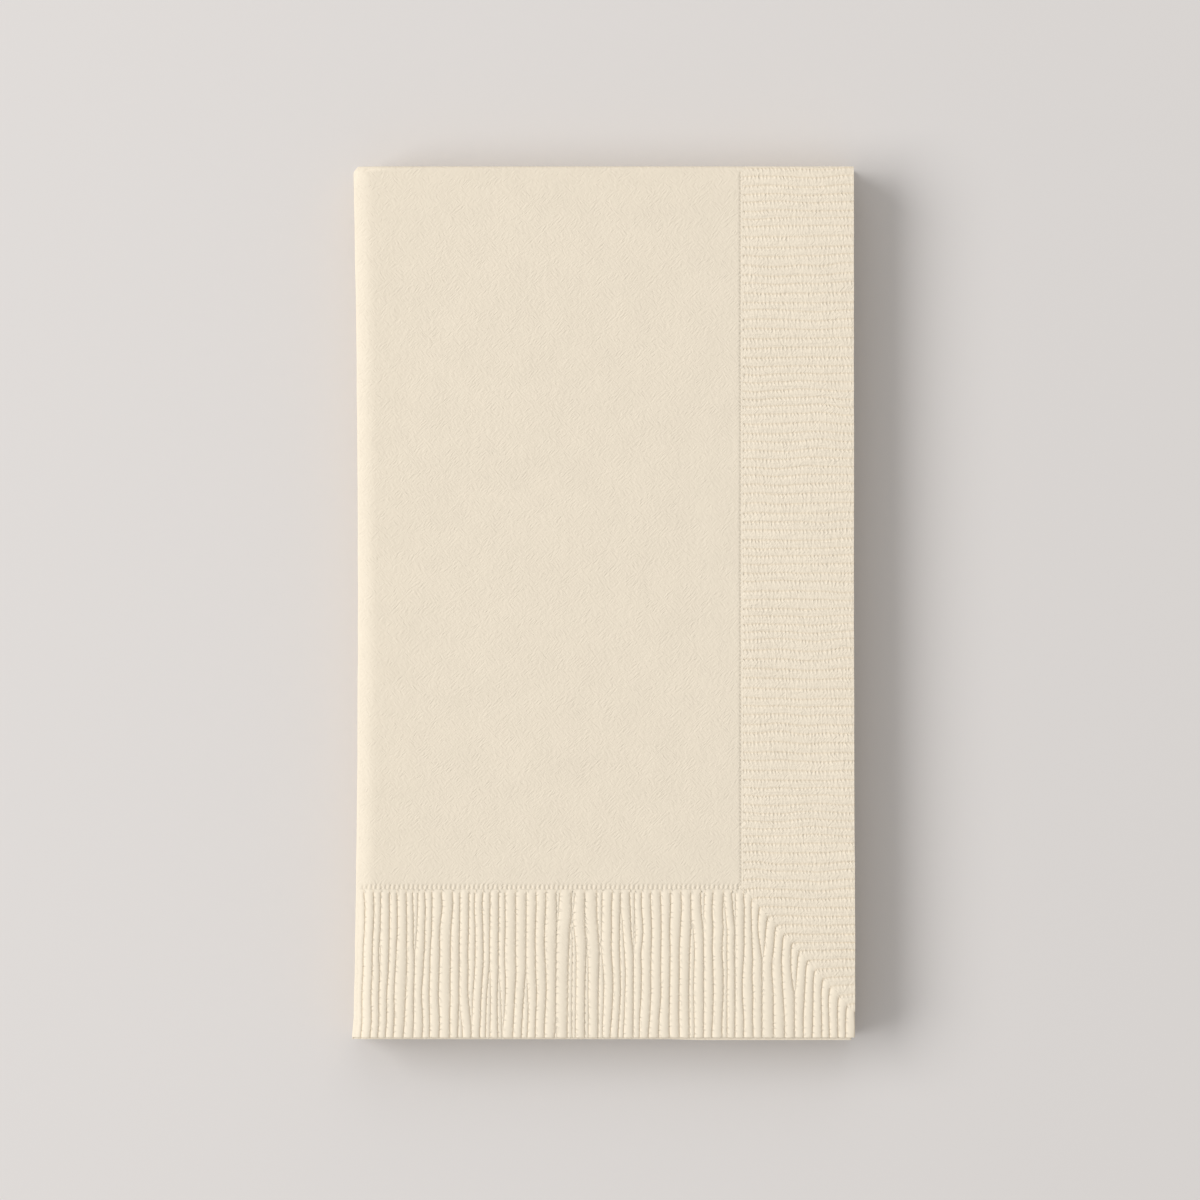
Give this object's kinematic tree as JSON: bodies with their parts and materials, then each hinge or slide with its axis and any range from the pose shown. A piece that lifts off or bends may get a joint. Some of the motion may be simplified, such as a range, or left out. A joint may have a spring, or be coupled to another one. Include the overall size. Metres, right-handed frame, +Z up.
{
  "type": "stack of paper guest towels",
  "caption": "Neat stack of folded ivory paper guest towels with a pressed ribbed border along two edges, laid on one another to be taken one at a time.",
  "frame": {"origin": "middle of the stack's box, on the surface that the lowest towel lies on", "axes": "+Z up through the stack, +Y along the towels towards their cross fold, +X towards the ribbed loose side edge"},
  "size_m": [0.115, 0.2002, 0.0152],
  "materials": {
    "paper": "soft matte uncoated tissue, warm ivory, embossed"
  },
  "bodies": {
    "root": {"towel_01": "paper", "towel_02": "paper", "towel_03": "paper", "towel_04": "paper", "towel_05": "paper", "towel_06": "paper", "towel_07": "paper", "towel_08": "paper"}
  },
  "joints": []
}
